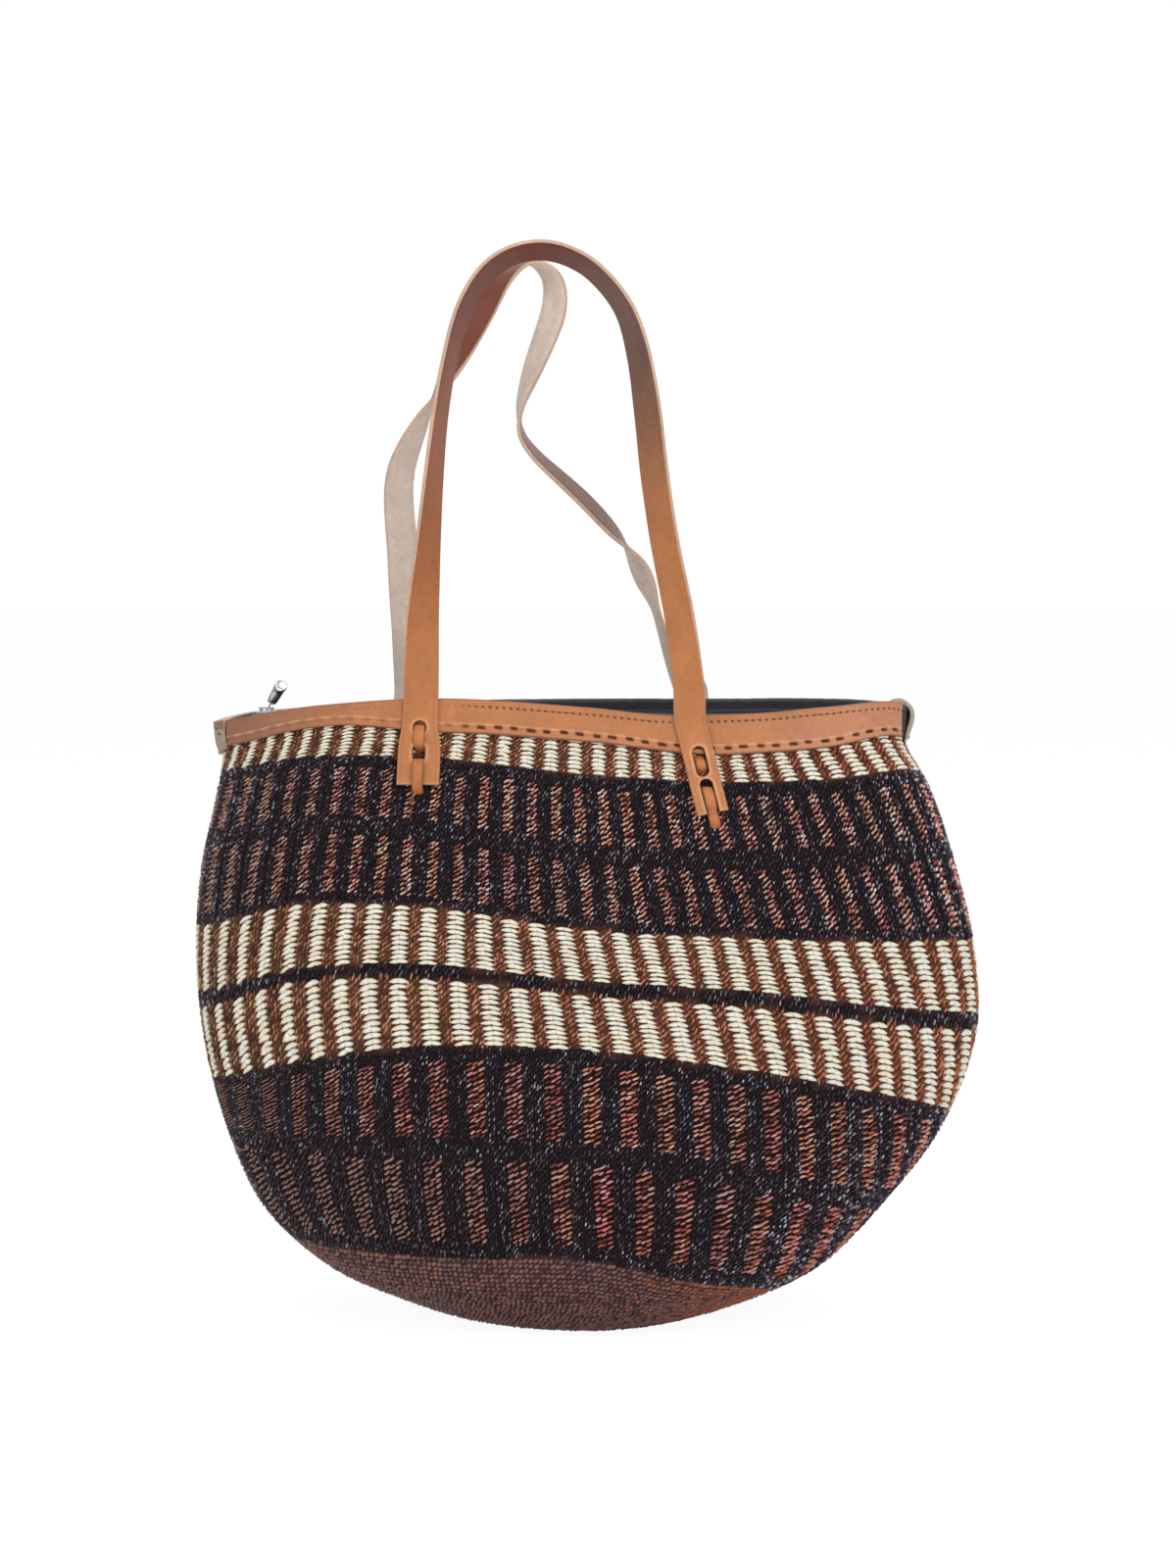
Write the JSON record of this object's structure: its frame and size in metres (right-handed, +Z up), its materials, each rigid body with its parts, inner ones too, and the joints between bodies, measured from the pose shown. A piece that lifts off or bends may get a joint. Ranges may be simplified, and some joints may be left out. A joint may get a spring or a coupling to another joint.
{
  "type": "sisal bucket bag",
  "caption": "Oval woven sisal bucket bag with a zip mouth, a stitched leather rim band and two leather carrying straps laced to the wall.",
  "frame": {"origin": "on the floor under the middle of the bag", "axes": "+Z up, +X to the bag's right seen from the front, +Y to the back; the zip runs along X"},
  "size_m": [0.4011, 0.158, 0.5503],
  "materials": {
    "sisal": "coarse coiled sisal, cream with black and copper-brown bands",
    "leather": "tan vegetable-tanned leather, satin",
    "thread": "waxed cream thread",
    "lining_fabric": "black cotton",
    "zip_coil": "black nylon coil",
    "zip_metal": "worn nickel"
  },
  "bodies": {
    "root": {"basket_body": "sisal", "lining": "lining_fabric", "rim_band_front": "leather", "rim_band_rear": "leather", "top_seam_front": "thread", "top_seam_rear": "thread", "lower_seam_front": "thread", "lower_seam_rear": "thread", "zip_facing": "lining_fabric", "corner_tab_left": "lining_fabric", "corner_tab_right": "lining_fabric", "strap_end_front_left": "leather", "strap_end_front_right": "leather", "strap_end_rear_left": "leather", "strap_end_rear_right": "leather", "lace_front_left": "leather", "lace_front_right": "leather", "lace_rear_left": "leather", "lace_rear_right": "leather", "zip_border_front": "lining_fabric", "zip_border_rear": "lining_fabric", "zip_end_left": "lining_fabric", "zip_end_right": "lining_fabric", "zip_chain_end_left": "zip_coil", "zip_chain_end_right": "zip_coil"},
    "front_handle": {"front_strap_loop": "leather"},
    "rear_handle": {"rear_strap_loop": "leather"},
    "front_flap": {"zip_panel_front": "lining_fabric", "zip_coil_front": "zip_coil"},
    "rear_flap": {"zip_panel_rear": "lining_fabric", "zip_coil_rear": "zip_coil"},
    "zip_runner": {"zip_slider": "zip_metal"},
    "zip_tab": {"zip_pull": "zip_metal"}
  },
  "joints": [
    {"name": "front_handle_fold", "type": "hinge", "parent": "root", "child": "front_handle", "pos_m": [0, -0.0392, 0.327], "axis": [1, 0, 0], "range_deg": [-5, 150]},
    {"name": "rear_handle_fold", "type": "hinge", "parent": "root", "child": "rear_handle", "pos_m": [0, 0.0392, 0.321], "axis": [1, 0, 0], "range_deg": [-150, 5]},
    {"name": "front_flap_swing", "type": "hinge", "parent": "root", "child": "front_flap", "pos_m": [0, -0.0195, 0.3089], "axis": [1, 0, 0], "range_deg": [-75, 0]},
    {"name": "rear_flap_swing", "type": "hinge", "parent": "root", "child": "rear_flap", "pos_m": [0, 0.0195, 0.3089], "axis": [1, 0, 0], "range_deg": [0, 75]},
    {"name": "zip_slide", "type": "slide", "parent": "root", "child": "zip_runner", "axis": [1, 0, 0], "range_m": [0, 0.3]},
    {"name": "pull_pivot", "type": "hinge", "parent": "zip_runner", "child": "zip_tab", "pos_m": [-0.1636, 0, 0.31355], "axis": [0, 1, 0], "range_deg": [-104, 42]}
  ]
}
